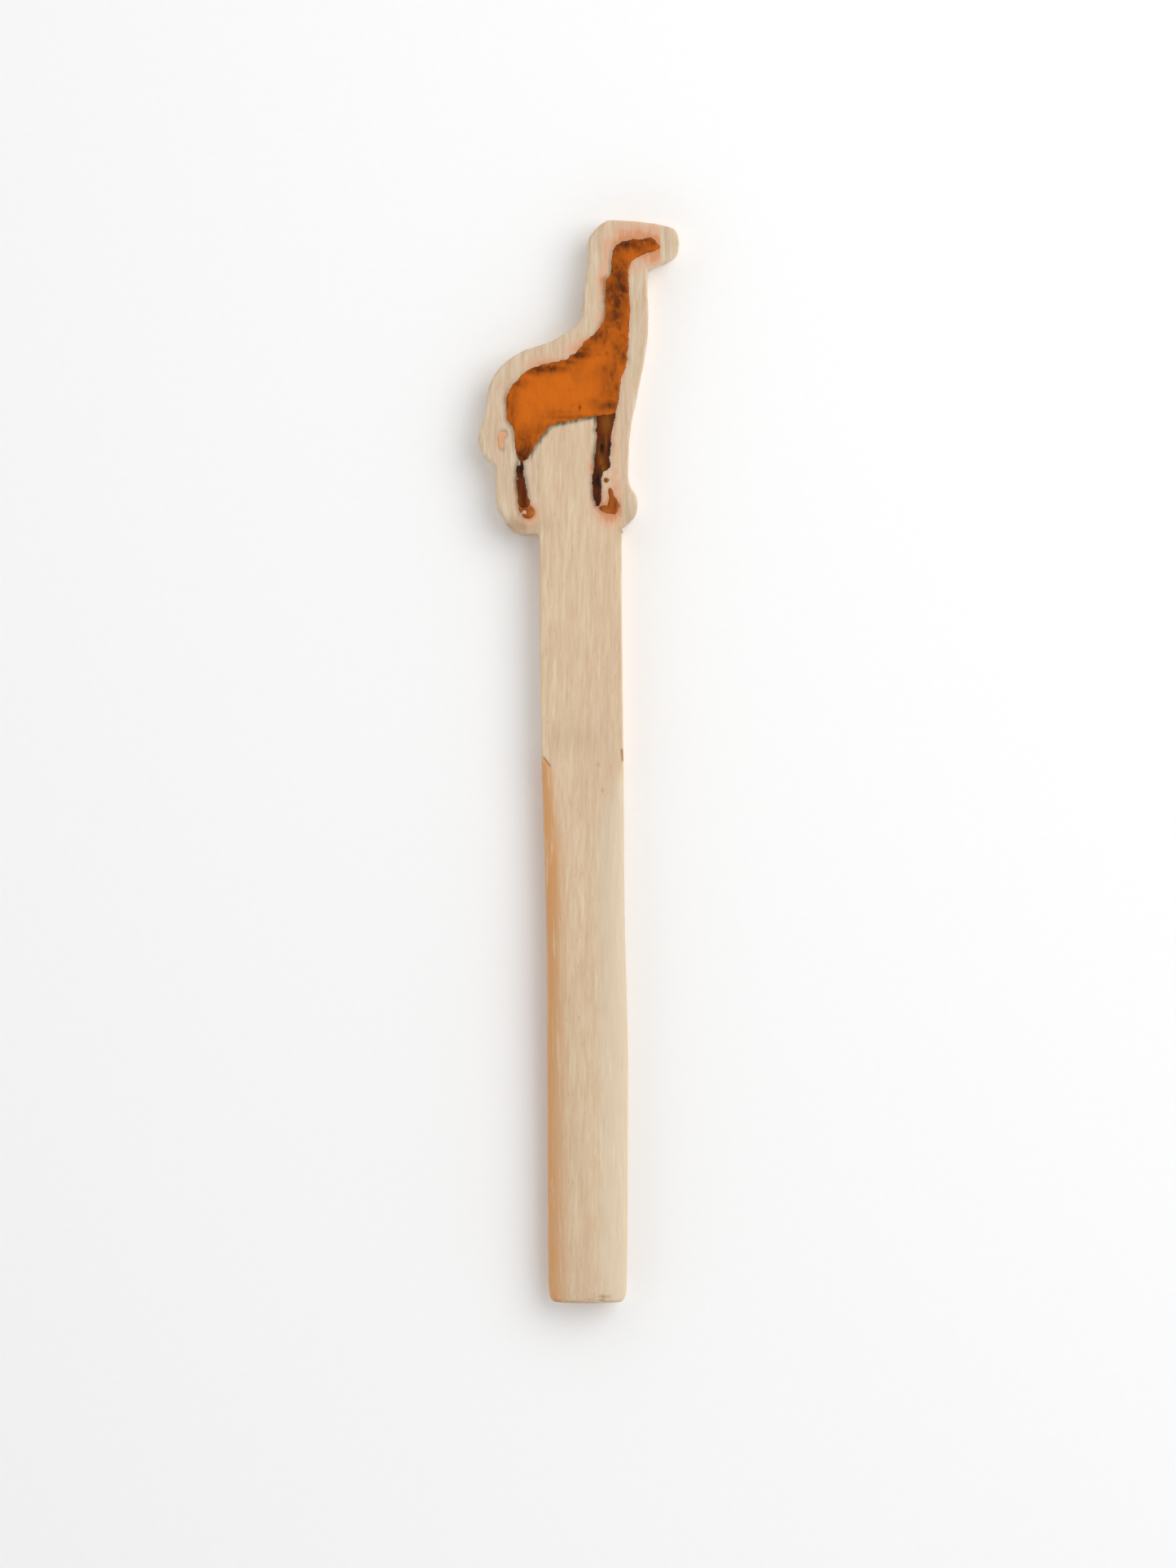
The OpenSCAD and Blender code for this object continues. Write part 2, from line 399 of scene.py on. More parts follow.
def build_stick():
    """The sleeve, rolled up, welded and closed."""
    bm = bmesh.new()
    last_column, last_row = len(columns) - 1, len(rows) - 1
    bmesh.ops.create_grid(bm, x_segments=last_column, y_segments=last_row, size=1.0)
    for v in bm.verts:
        column = round((v.co.x + 1) / 2 * last_column)
        row = round((v.co.y + 1) / 2 * last_row)
        v.co = stick_point(columns[column], rows[row])
    bmesh.ops.remove_doubles(bm, verts=bm.verts, dist=0.002 * MM)
    bmesh.ops.recalc_face_normals(bm, faces=bm.faces)
    return made(bm, "whittled_stick")


stick = build_stick()
stick.data.set_sharp_from_angle(angle=math.radians(60))
print(f"{stick.name}: {len(stick.data.polygons)} faces")

# %% [markdown]
# ## The plate
#
# The real plate is thin basswood, sawn by hand along a line a few millimetres outside the figure, with the
# edges broken by sandpaper. Its outline is already right in the frame, so a copy of the CAD plate is the
# start: its outer edges are bevelled. Then it is sliced all three ways into small cells, which carry the
# stain and can be pushed about by the saw, while the recess for the stick keeps its exact shape.

# %% Cut the plate and break its edges
ARRIS = 0.3 * MM
CELLS = (0.2 * MM, 0.2 * MM, 0.5 * MM)
SAW_WANDER = 0.05 * MM
SAW_MARKS = 0.03 * MM


def beside_tongue(place):
    """Whether this place is on the recess or on the foot that meets the stick."""
    slack = 0.02 * MM
    return abs(place.x - FOOT.x) < STICK_WIDTH / 2 + slack and place.y < glue_high.y + slack


def slice_along(bm, axis, low, high, step):
    """Cuts the mesh across one axis at every step."""
    direction = Vector((axis == 0, axis == 1, axis == 2))
    for place in evenly(low, high, step)[1:]:
        bmesh.ops.bisect_plane(
            bm, geom=bm.verts[:] + bm.edges[:] + bm.faces[:], dist=WELD,
            plane_co=direction * place, plane_no=direction,
        )


def saw_sides(bm):
    """Moves the points of the sides by the fretsaw's wander and by its fine upright marks."""
    bm.normal_update()
    for v in bm.verts:
        flat = Vector((v.normal.x, v.normal.y, 0.0))
        if flat.length > 0.3 and not beside_tongue(v.co):
            wander = noise.noise(v.co / (1.5 * MM))
            marks = noise.noise(Vector((v.co.x / (0.4 * MM), v.co.y / (0.4 * MM), v.co.z / (3 * MM))))
            from_joint = Vector((abs(v.co.x - FOOT.x) - STICK_WIDTH / 2, v.co.y - FOOT.y)).length
            fade = eased(from_joint / MM)
            v.co += flat * (fade * (SAW_WANDER * wander + SAW_MARKS * marks))


def build_plate():
    """The CAD plate with broken edges, in small cells, with sawn sides."""
    bm = cad_copy("giraffe_plate")
    rim = [
        e for e in bm.edges
        if len(e.link_faces) == 2
        and abs(abs(e.link_faces[0].normal.z) - abs(e.link_faces[1].normal.z)) > 0.5
        and not beside_tongue(e.verts[0].co.lerp(e.verts[1].co, 0.5))
    ]
    bmesh.ops.bevel(
        bm, geom=rim, offset=ARRIS, offset_type="OFFSET", segments=3, profile=0.5, affect="EDGES",
        material=-1, clamp_overlap=False,
    )
    for axis in (0, 1, 2):
        slice_along(bm, axis, plate_low[axis], plate_high[axis], CELLS[axis])
    saw_sides(bm)
    bmesh.ops.recalc_face_normals(bm, faces=bm.faces)
    piece = made(bm, "fretted_plate")
    piece.data.set_sharp_from_angle(angle=math.radians(40))
    return piece


plate = build_plate()
print(f"{plate.name}: {len(plate.data.polygons)} faces")

# %% [markdown]
# ## What stains the wood
#
# Thinned paint runs into bare wood, and it runs further along the grain than across it. The stain is strong
# round the head and the fore hoof, and faint along the back. Every wood point near the front gets its
# distance from the nearest painted edge, with the distance along the grain counted for less, and nearby
# places weigh how strong the stain is.

# %% Say where the wood was wet or drawn on
GRAIN_RUN = 0.45  # a millimetre along the grain counts as this much across it
stain_tree = tree_of(painted_edge, 1.0, GRAIN_RUN)
TAIL_SIDE = drawn(-9.6, 0).x  # left of this no line is drawn, so the tail has one on its right side only
edge_of_figure = tree_of([p for p in painted_edge if p.x > TAIL_SIDE])
# Where the paint was wet: place, size across and along the grain, and strength.
WET_PLACES = [
    (drawn(6.2, 36.4), 5.0, 2.6, 1.3), (drawn(8.8, 33.9), 2.0, 1.5, 1.3),
    (drawn(6.2, 32.6), 1.1, 1.1, 0.9), (drawn(9.4, 35.0), 0.9, 1.9, 2.6),
    (drawn(2.9, 34.6), 0.7, 2.6, 1.3), (drawn(2.6, 30.9), 0.7, 2.6, 1.3),
    (drawn(3.9, 2.6), 2.3, 2.4, 1.4), (drawn(4.5, 6.2), 0.6, 1.6, 1.3),
    (drawn(1.3, 8.4), 0.5, 1.2, 1.2), (drawn(-6.0, 2.4), 1.4, 1.5, 1.1),
    (drawn(-7.8, 5.0), 0.8, 2.5, 0.7), (drawn(-4.6, 20.9), 2.6, 1.0, 0.8),
    (drawn(-0.4, 23.0), 2.2, 1.4, 0.9), (drawn(2.6, 26.2), 0.9, 1.6, 1.0),
    (drawn(1.9, 5.0), 0.6, 2.5, 0.7), (drawn(-8.9, 16.2), 0.7, 2.2, 0.6),
    (drawn(5.4, 29.4), 0.6, 2.4, 0.6), (drawn(4.2, 11.0), 0.8, 3.0, 0.5),
    (drawn(2.7, 3.2), 0.7, 0.8, 1.6), (drawn(4.4, 7.2), 0.5, 0.8, 1.4),
]
# Lines that the stain never crossed: a hard fibre beside the nose, and the joint beside the fore hoof.
STOPS = [(drawn(9.85, 35.0), 4 * MM), (drawn(5.05, 4.0), 6 * MM)]
# Where a pencil line shows along the figure.
PENCILLED = [
    (drawn(-1.0, 14.1), 3.6, 1.5, 1.6), (drawn(-5.1, 11.6), 1.9, 2.4, 1.5),
    (drawn(3.0, 29.5), 1.2, 5.5, 0.6), (drawn(-9.0, 14.0), 1.4, 5.0, 0.5),
    (drawn(-7.6, 6.0), 1.2, 3.4, 0.8), (drawn(1.9, 10.0), 0.8, 4.5, 0.8),
    (drawn(1.8, 5.0), 0.8, 2.5, 0.7), (drawn(4.4, 10.5), 0.6, 2.6, 0.4),
]
print(f"{len(WET_PLACES)} wet places and {len(PENCILLED)} stretches of pencil line")

# %% [markdown]
# Each rule below gives the strength of one mark at one place. The stain fades with the distance from the
# paint, faster in some fibres than in others, and the drawn line is a thin band along the edge of the
# figure.

# %% Rules for the marks
STAIN_DEPTH = 0.6 * MM  # how far down the sides the stain goes
LINE_DEPTH = 0.3 * MM  # how far down the sides the pencil line goes
LINE_WIDTH = 0.37 * MM
FAINTEST_LINE = 0.12


def gathered(place, spots):
    """The strongest of some soft oval spots at this place."""
    strongest = 0.0
    for centre, wide, high, strength in spots:
        dx, dy = (place.x - centre.x) / (wide * MM), (place.y - centre.y) / (high * MM)
        strongest = max(strongest, strength * math.exp(-(dx * dx + dy * dy)))
    return strongest


def stain(place):
    """How far thinned paint has stained the wood at this place."""
    if place.z < FRONT - STAIN_DEPTH:
        return 0.0
    for stop, reach in STOPS:
        if place.x > stop.x and abs(place.y - stop.y) < reach:
            return 0.0
    _, _, far = stain_tree.find((place.x, place.y * GRAIN_RUN, 0.0))
    fibre = noise.noise(Vector((place.x / (0.22 * MM), place.y / (5 * MM), 0.0)))
    patch = noise.noise(place / (0.9 * MM))
    run = max(0.15, 0.72 + 0.75 * fibre + 0.5 * patch) * MM
    return min(1.0, gathered(place, WET_PLACES) * math.exp(-((far / run) ** 1.3)))


def pencil(place):
    """How dark the drawn line round the figure is at this place."""
    if place.z < FRONT - LINE_DEPTH:
        return 0.0
    _, _, far = edge_of_figure.find((place.x, place.y, 0.0))
    line = math.exp(-((far / LINE_WIDTH) ** 3))
    return line * (FAINTEST_LINE + min(1 - FAINTEST_LINE, gathered(place, PENCILLED)))


# Painted shade on the plate's foot on both sides of the stick, grime of handling at the shoulder and the
# butt, and one dark growth line through the nose.
GRIME_AND_SHADE = [
    (drawn(-7.4, 0.9), 2.6, 1.1, 1.0), (drawn(6.4, 1.6), 1.1, 1.6, 0.5),
    (drawn(5.3, 0.4), 0.5, 0.5, 1.0), (drawn(10.55, 35.4), 0.13, 3.0, 0.6),
    (drawn(-0.6, -25.2), 3.2, 1.7, 0.22), (drawn(2.2, -28.5), 0.2, 0.3, 0.6),
    (drawn(2.7, -31.6), 0.15, 0.3, 0.6), (drawn(2.9, -93.75), 0.5, 0.22, 1.4),
    (drawn(2.6, -94.2), 0.3, 0.2, 1.4),
]


def grime_and_shade(place):
    """How dark the wood is here: in the spots above, which hold painted shade and grime, and with grime on
    the sawn end grain of the butt.
    """
    frayed = (0.6 + 0.5 * noise.noise(place / (0.35 * MM))) * MM
    return max(gathered(place, GRIME_AND_SHADE), 0.75 * eased((BUTT + frayed - place.y) / (0.45 * MM)))


# The grime mark also holds painted shade at the plate's foot.
for wood in (plate, stick):
    mark(wood, "stain", stain)
    mark(wood, "pencil", pencil)
    mark(wood, "grime_and_shade", grime_and_shade)

# %% [markdown]
# The grip's colour holds painted shade and light: a warm band of painted shade runs down its left side, with
# a fairly sharp inner edge, and a band of painted light runs down its right. Both are soft near the butt.
# `cut` is the dark line of a stop cut, which is only on the front.

# %% Mark the painted shade and light on the grip
HALF_DEPTH = 2 * MM  # about half the stick's depth
BAND_SLANT = 1.33  # how steeply the top of the warm band follows the stop cut


def across(place):
    """Where this place lies across the stick, from -1 at its left edge to 1 at its right edge."""
    middle, half = section_at(place.y)[:2]
    return (place.x - middle) / half


def painted_left_shade(place):
    """How strong the painted shade on the grip's left side is here. The band starts along the left stop cut.
    """
    start = STOP_CUTS[0]["at"]
    past = start.y - place.y - BAND_SLANT * (place.x - start.x)
    below = SHOULDER - place.y
    inner = -0.79 + 0.11 * eased(below / (14 * MM)) + 0.05 * noise.noise(place / (4 * MM))
    blur = 0.14 + 0.5 * eased((below - 12 * MM) / (30 * MM))
    sharp = eased((inner - across(place)) / blur + 0.5)
    soft = eased((inner + 0.3 - across(place)) / 0.35) * (0.3 + 0.7 * eased(below / (9 * MM)))
    return eased(past / (0.5 * MM) + 0.5) * max(sharp, 0.5 * soft)


def painted_right_light(place):
    """How strong the painted light on the grip's right side is here."""
    below = SHOULDER - place.y
    inner = 0.6 - 0.5 * eased(below / (11 * MM)) + 0.12 * noise.noise(place / (2.5 * MM))
    return eased((below - MM) / (3 * MM)) * eased((across(place) - inner) / 0.45)


# Painted shade on the grip's left side and painted light on its right side, stored on the stick.
mark(stick, "painted_left_shade", painted_left_shade)
mark(stick, "painted_right_light", painted_right_light)
mark(stick, "cut", lambda p: cut_depth(p) if p.z > HALF_DEPTH else 0.0)

# %% [markdown]
# ## The coats of paint
#
# A coat of paint is a thin film with a rounded rim, a little thicker where it has dried along its edge,
# with faint brush ridges. Its outline is never quite smooth. Each film starts as a fine grid over its CAD
# coat. The points outside the coat are deleted, as with a biscuit cutter, and the ragged rim is pulled onto
# the outline. Then the sheet is given its height, and a second sheet below closes it.

# %% Give the paint its height
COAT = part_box("body_paint")[1].z - FRONT


def coat_height(place, far):
    """The height of the paint at this place, which is this far from its edge."""
    rise = 1 - math.exp(-far / (0.15 * MM))
    bead = math.exp(-(((far - 0.25 * MM) / (0.12 * MM)) ** 2))
    ridge = noise.noise(Vector((place.x / (0.35 * MM), place.y / (1.8 * MM), 0.0)))
    return COAT * (0.05 + 0.5 * rise + 0.08 * bead + 0.14 * ridge * rise)


print(f"a coat may be {COAT / MM:.2f} mm thick")

# %% [markdown]
# The rim of the grid is a stair of small cells at first. Its points are pulled onto the outline, and where
# two coats meet each is drawn a little over the other, so no gap shows between them. Cells that hang on by
# one side or by a corner are taken off before that.

# %% Settle the rim
OVERLAP = 0.12 * MM


def settle_rim(v, bare, cell, nearest, far):
    """Pulls a point of the rim onto the outline or round a bare spot, and laps it over the next coat."""
    near = 1.5 * cell
    if far < near:
        v.co.x, v.co.y = nearest.x, nearest.y
    for spot, radius in bare:
        offset = (v.co - spot).to_2d()
        if abs(offset.length - radius) < near:
            v.co.x, v.co.y = spot.to_2d() + offset * (radius / offset.length)
    if free_tree.find((v.co.x, v.co.y, 0.0))[2] > TOUCHING and far < near:
        inner = sum((f.calc_center_median() for f in v.link_faces), Vector()) / len(v.link_faces)
        v.co += (v.co - inner).normalized() * OVERLAP


def trim(bm):
    """Deletes the cells that hang on by one side or by a corner, until none is left."""
    while True:
        weak = [f for f in bm.faces if sum(len(e.link_faces) for e in f.edges) < len(f.edges) + 2]
        weak += [v.link_faces[0] for v in bm.verts if sum(e.is_boundary for e in v.link_edges) > 2]
        if not weak:
            return
        bmesh.ops.delete(bm, geom=list(dict.fromkeys(weak)), context="FACES")


# %% Make the coats
CELL = 0.1 * MM
FINE_CELL = 0.08 * MM
SUNK = 0.02 * MM  # how far the film reaches into the wood
UP = Vector((0, 0, 1))


def build_coat(name, node, cell, lift, bare=()):
    """A film of paint over the CAD coat, in cells of this size.

    The lift is its share of the full height, and the bare spots are pairs of a place and a radius.
    """
    low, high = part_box(node)
    size = high - low
    cutter = cad_copy(node)
    cutter_tree = BVHTree.FromBMesh(cutter)
    cutter.free()
    edge_tree = tree_of(outlines[node])
    bm = bmesh.new()
    spread = Matrix.Translation((low + high) / 2) @ Matrix.Diagonal((size.x / 2, size.y / 2, 1, 1))
    bmesh.ops.create_grid(
        bm, x_segments=round(size.x / cell), y_segments=round(size.y / cell), size=1.0, matrix=spread
    )
    outside = [
        v for v in bm.verts
        if cutter_tree.ray_cast(v.co + UP, -UP)[0] is None
        or any((v.co - spot).to_2d().length < radius for spot, radius in bare)
    ]
    bmesh.ops.delete(bm, geom=outside, context="VERTS")
    trim(bm)
    rim = [v for v in bm.verts if v.is_boundary]
    for v in rim:
        nearest, _, far = edge_tree.find((v.co.x, v.co.y, 0.0))
        settle_rim(v, bare, cell, nearest, far)
    bmesh.ops.smooth_vert(bm, verts=rim, factor=0.4, use_axis_x=True, use_axis_y=True)
    edge = bm.verts.layers.float.new("edge")
    for v in bm.verts:
        far = free_tree.find((v.co.x, v.co.y, 0.0))[2]
        v[edge] = far / MM
        v.co.z = FRONT + lift * coat_height(v.co, far)
        v.co += ragged(v.co)
    lower = bmesh.ops.extrude_face_region(bm, geom=bm.faces[:], use_keep_orig=True)
    for v in lower["geom"]:
        if isinstance(v, bmesh.types.BMVert):
            v.co.z = FRONT - SUNK
    bmesh.ops.recalc_face_normals(bm, faces=bm.faces)
    piece = made(bm, name)
    print(f"{name}: {len(piece.data.polygons)} faces")
    return piece


body = build_coat("body_coat", "body_paint", CELL, 1.0)
fore_leg = build_coat("fore_leg_coat", "fore_leg_paint", FINE_CELL, 0.85)
fore_hoof = build_coat("fore_hoof_coat", "fore_hoof_paint", FINE_CELL, 0.7)
hind_leg = build_coat(
    "hind_leg_coat", "hind_leg_paint", FINE_CELL, 0.85,
    bare=[(drawn(-7.65, 8.55), 0.24 * MM), (drawn(-7.75, 6.65), 0.15 * MM)],
)
hind_hoof = build_coat(
    "hind_hoof_coat", "hind_hoof_paint", FINE_CELL, 0.7, bare=[(drawn(-6.95, 2.5), 0.27 * MM)]
)
tail = build_coat("tail_coat", "tail_paint", FINE_CELL, 0.6)

# %% [markdown]
# The body was painted bright orange and then worked with brown, thickly on the neck and chest and hardly at
# all on the barrel. `wash` is a broad soft layer of brown, `dab` holds the dark dabs that were put on one
# by one, and `light` is where the legs' brown is thin.

# %% Mark the brush's work on the coats
WASHES = [
    (drawn(5.6, 35.4), 3.8, 1.2, 0.75), (drawn(4.6, 32.4), 1.6, 2.4, 0.75),
    (drawn(4.4, 29.6), 2.2, 3.2, 0.8), (drawn(4.3, 26.6), 2.0, 1.8, 0.7),
    (drawn(5.2, 23.0), 1.5, 3.2, 0.5), (drawn(2.8, 24.2), 1.6, 1.4, 0.5),
    (drawn(0.4, 22.6), 1.8, 0.7, 0.6), (drawn(-2.0, 21.0), 2.0, 0.5, 0.65),
    (drawn(-5.4, 19.9), 2.4, 0.6, 0.65), (drawn(-8.2, 17.8), 0.7, 2.0, 0.5),
    (drawn(-8.4, 14.4), 0.6, 2.5, 0.5), (drawn(-6.8, 10.6), 2.2, 2.0, 0.75),
    (drawn(3.9, 18.5), 1.7, 3.6, 0.42), (drawn(3.4, 15.7), 1.8, 1.0, 0.6),
    (drawn(-2.4, 14.8), 1.8, 0.4, 0.3), (drawn(-1.0, 14.2), 3.2, 0.35, 0.5),
    (drawn(-5.2, 12.4), 1.0, 1.0, 0.4), (drawn(-4.4, 20.2), 2.8, 0.6, 1.0),
    (drawn(-7.7, 18.4), 1.2, 0.7, 0.7), (drawn(-0.4, 21.9), 1.7, 0.6, 1.0),
    (drawn(2.0, 24.0), 1.1, 1.0, 0.8),
]
DABS = [
    (drawn(5.4, 35.4), 1.3, 0.45, 1.0), (drawn(4.4, 34.9), 0.5, 0.4, 0.8),
    (drawn(9.1, 35.7), 0.6, 0.4, 0.7), (drawn(8.0, 36.0), 1.2, 0.25, 0.8),
    (drawn(4.9, 31.2), 0.5, 1.2, 0.6), (drawn(5.1, 30.1), 0.4, 0.7, 1.0),
    (drawn(3.6, 30.0), 0.4, 0.4, 0.6), (drawn(4.5, 28.4), 0.55, 0.8, 1.0),
    (drawn(4.2, 27.1), 0.25, 0.9, 0.8), (drawn(3.3, 25.3), 0.35, 0.35, 0.6),
    (drawn(4.8, 25.2), 0.25, 0.4, 0.6), (drawn(2.5, 24.2), 0.25, 0.6, 0.6),
    (drawn(4.4, 22.8), 0.35, 0.5, 0.6), (drawn(5.3, 21.7), 0.25, 0.8, 0.7),
    (drawn(0.9, 23.2), 0.6, 0.3, 0.5), (drawn(-0.6, 21.7), 1.0, 0.3, 0.5),
    (drawn(-3.9, 20.4), 2.0, 0.3, 0.35), (drawn(2.9, 20.3), 0.4, 0.3, 0.4),
    (drawn(4.3, 20.4), 0.2, 0.7, 0.6), (drawn(3.1, 18.8), 0.25, 0.25, 0.3),
    (drawn(2.8, 17.5), 0.18, 0.9, 0.3), (drawn(3.8, 15.7), 0.7, 0.5, 0.6),
    (drawn(-1.0, 15.7), 0.6, 0.3, 0.2), (drawn(-0.1, 15.4), 0.12, 0.35, 1.2),
    (drawn(-7.7, 14.8), 0.25, 0.5, 0.3), (drawn(-6.7, 12.8), 0.3, 0.6, 0.3),
    (drawn(-7.1, 9.2), 1.1, 0.7, 1.1), (drawn(2.6, 10.6), 0.4, 1.3, 1.1),
    (drawn(3.6, 10.4), 0.4, 1.2, 1.1), (drawn(2.1, 6.6), 0.7, 1.6, 1.1),
    (drawn(2.2, 4.0), 0.5, 2.0, 0.7), (drawn(3.6, 8.4), 0.35, 1.4, 0.5),
    (drawn(-7.2, 7.8), 0.6, 0.9, 1.3), (drawn(-7.0, 4.5), 0.3, 1.5, 0.5),
    (drawn(3.3, 4.5), 0.3, 0.8, 0.6), (drawn(4.3, 3.4), 0.25, 0.8, 0.7),
    (drawn(-6.9, 3.0), 0.4, 0.3, 0.6), (drawn(3.2, 24.7), 0.2, 0.3, 0.6),
    (drawn(4.0, 25.4), 0.2, 0.3, 0.6), (drawn(2.9, 23.5), 0.2, 0.35, 0.6),
    (drawn(3.9, 23.4), 0.22, 0.3, 0.6), (drawn(3.2, 22.1), 0.22, 0.3, 0.6),
    (drawn(4.2, 21.6), 0.2, 0.4, 0.6), (drawn(2.2, 21.9), 0.3, 0.2, 0.5),
    (drawn(3.8, 19.4), 0.18, 0.45, 0.6), (drawn(4.4, 17.9), 0.2, 0.5, 0.6),
    (drawn(2.6, 17.0), 0.16, 0.35, 0.5), (drawn(1.5, 16.3), 0.35, 0.2, 0.4),
    (drawn(3.7, 16.9), 0.2, 0.3, 0.5), (drawn(-1.3, 17.6), 0.5, 0.2, 0.2),
    (drawn(-7.5, 9.6), 0.5, 0.5, 1.2),
]
LIGHT = [
    (drawn(3.1, 13.4), 0.6, 1.2, 0.9), (drawn(2.5, 9.4), 0.35, 1.7, 1.1),
    (drawn(2.7, 7.9), 0.35, 0.7, 0.9), (drawn(3.1, 11.4), 0.18, 1.3, 0.8),
    (drawn(-6.4, 4.0), 0.3, 1.0, 0.8), (drawn(-7.5, 4.0), 0.25, 1.0, 0.6),
    (drawn(4.6, 2.6), 0.3, 1.2, 0.7), (drawn(3.0, 2.6), 0.8, 0.3, 0.6),
    (drawn(-5.8, 2.4), 0.5, 0.5, 0.8), (drawn(-10.1, 13.0), 0.35, 0.9, 0.9),
    (drawn(-10.7, 11.6), 0.25, 0.6, 0.7),
]
for coat in (body, fore_leg, fore_hoof, hind_leg, hind_hoof, tail):
    mark(coat, "wash", lambda p: gathered(p, WASHES))
    mark(coat, "dab", lambda p: gathered(p, DABS))
    mark(coat, "light", lambda p: gathered(p, LIGHT))

# %% [markdown]
# ## The glue
#
# The two woods are held by a film of white glue behind the tongue. A little was squeezed out and dried in
# the three hairlines round the tongue's foot, and as a bead at each corner there. All of it is one piece,
# made of a box, three rods and two balls that are cut finely and shaken by noise, since dried glue is never
# even.

# %% Make the glue
THREAD = 0.06 * MM  # radius of a thread of glue
THREAD_CUTS = 60
THREAD_RUN = 12 * MM  # how far up the joint's sides the threads show
BEAD = 0.17 * MM


def add_film(bm):
    """The film behind the tongue, a little uneven at its upper end."""
    size = glue_high - glue_low
    place = Matrix.Translation((glue_low + glue_high) / 2) @ Matrix.Diagonal((size.x, size.y, size.z, 1))
    bmesh.ops.create_cube(bm, size=1.0, matrix=place)
    bmesh.ops.subdivide_edges(bm, edges=bm.edges, cuts=20, use_grid_fill=True)
    for v in bm.verts:
        v.co.y -= 0.15 * MM * max(0.0, noise.noise(v.co / MM)) if v.co.y > glue_high.y - 0.01 * MM else 0.0


def add_thread(bm, start, end):
    """A thin uneven rod of dried glue from start to end."""
    line = end - start
    turn = line.to_track_quat("Z", "Y").to_matrix().to_4x4()
    rod = bmesh.ops.create_cone(
        bm, cap_ends=True, segments=8, radius1=THREAD, radius2=THREAD, depth=line.length,
        matrix=Matrix.Translation((start + end) / 2) @ turn,
    )
    long_edges = [
        e for e in dict.fromkeys(e for v in rod["verts"] for e in v.link_edges)
        if abs((e.verts[1].co - e.verts[0].co).dot(line)) > 0.9 * line.length_squared
    ]
    cut = bmesh.ops.subdivide_edges(bm, edges=long_edges, cuts=THREAD_CUTS)
    for v in dict.fromkeys(v for v in cut["geom_inner"] if isinstance(v, bmesh.types.BMVert)):
        shake = noise.noise_vector(v.co / (0.6 * MM)) * 0.02 * MM
        v.co += Vector((shake.x, shake.y, 0.0))


def add_bead(bm, place):
    """A small bead of glue that was squeezed out at a corner of the joint."""
    matrix = Matrix.Translation(place) @ Matrix.Diagonal((1.0, 0.8, 1.2, 1.0))
    bead = bmesh.ops.create_icosphere(bm, subdivisions=3, radius=BEAD, matrix=matrix)
    for v in bead["verts"]:
        v.co += noise.noise_vector(v.co / (0.2 * MM)) * 0.03 * MM


def build_glue():
    """The film, and the threads and beads that squeezed out."""
    bm = bmesh.new()
    add_film(bm)
    for side in (-1, 1):
        x = FOOT.x + side * STICK_WIDTH / 2
        depth = FRONT - 1.15 * THREAD
        add_thread(bm, Vector((x, FOOT.y + 0.2 * MM, depth)), Vector((x, FOOT.y + THREAD_RUN, depth)))
        add_bead(bm, Vector((x + side * 0.06 * MM, FOOT.y + 0.1 * MM, FRONT - 0.24 * MM)))
    left, right = (FOOT + Vector((side * (STICK_WIDTH / 2 - 0.2 * MM), 0, 1.3 * THREAD)) for side in (-1, 1))
    add_thread(bm, left, right)
    bmesh.ops.recalc_face_normals(bm, faces=bm.faces)
    return made(bm, "squeezed_glue")


glue = build_glue()
print(f"{glue.name}: {len(glue.data.polygons)} faces")

# %% [markdown]
# ## Materials
#
# Colours are given as the hex values that a paint chart or a picture editor shows. Blender's shaders want
# linear values, so one function turns one into the other. Another function adds a node with its settings
# and its inputs, and all the materials are written with it.

# %% Helpers for materials
def linear(hex_colour):
    """A hex colour in sRGB as linear red, green, blue and alpha."""
    parts = [int(hex_colour[k:k + 2], 16) / 255 for k in (1, 3, 5)]
    return [p / 12.92 if p <= 0.04045 else ((p + 0.055) / 1.055) ** 2.4 for p in parts] + [1.0]


def add(tree, kind, inputs=(), out=0, **settings):
    """Adds a node with its settings, fills its inputs, and returns one output.

    An input is a value, a hex colour or another node's output.
    """
    new = tree.nodes.new("ShaderNode" + kind)
    for name, value in settings.items():
        setattr(new, name, value)
    for socket, value in dict(inputs).items():
        if isinstance(value, bpy.types.NodeSocket):
            tree.links.new(value, new.inputs[socket])
        else:
            new.inputs[socket].default_value = linear(value) if isinstance(value, str) else value
    return new.outputs[out]


def blank(name, **sockets):
    """A new material, its node tree and its shader, with constant values set on the shader's own sockets."""
    material = bpy.data.materials.new(name)
    material.use_nodes = True
    shader = material.node_tree.nodes["Principled BSDF"]
    for socket, value in sockets.items():
        shader.inputs[socket.replace("_", " ")].default_value = value
    return material, material.node_tree, shader


# %% [markdown]
# Two more helpers follow the way a surface is built up. `pattern` is an uneven field in millimetres, drawn
# out along the grain. `laid_over` lays colours over one another, each as thickly as its amount says.
#
# Some nodes know their sockets by number. Those of the Mix node get names below. On a MapRange node, 0 is
# the value that comes in, 1 and 2 are the range it is read on, and 3 and 4 are the range it is turned to,
# which is from 0 to 1 if nothing is said. A Math node's two values are 0 and 1.

# %% Helpers for patterns and layers
FACTOR, FIRST, SECOND, MIXED = 0, 6, 7, 2


def pattern(tree, stretch, **settings):
    """An uneven field in millimetres, drawn out this much along the grain."""
    place = add(tree, "TexCoord", out="Object")
    scale = (1 / MM, 1 / MM / stretch, 1 / MM)
    place = add(tree, "Mapping", {"Vector": place, "Scale": scale})
    return add(tree, "TexNoise", {"Vector": place, **settings})


def laid_over(tree, tone, *layers):
    """The tone with layers of (amount, colour) over it, the first one lowest."""
    for amount, colour in layers:
        inputs = {FACTOR: amount, FIRST: tone, SECOND: colour}
        tone = add(tree, "Mix", inputs, MIXED, data_type="RGBA")
    return tone


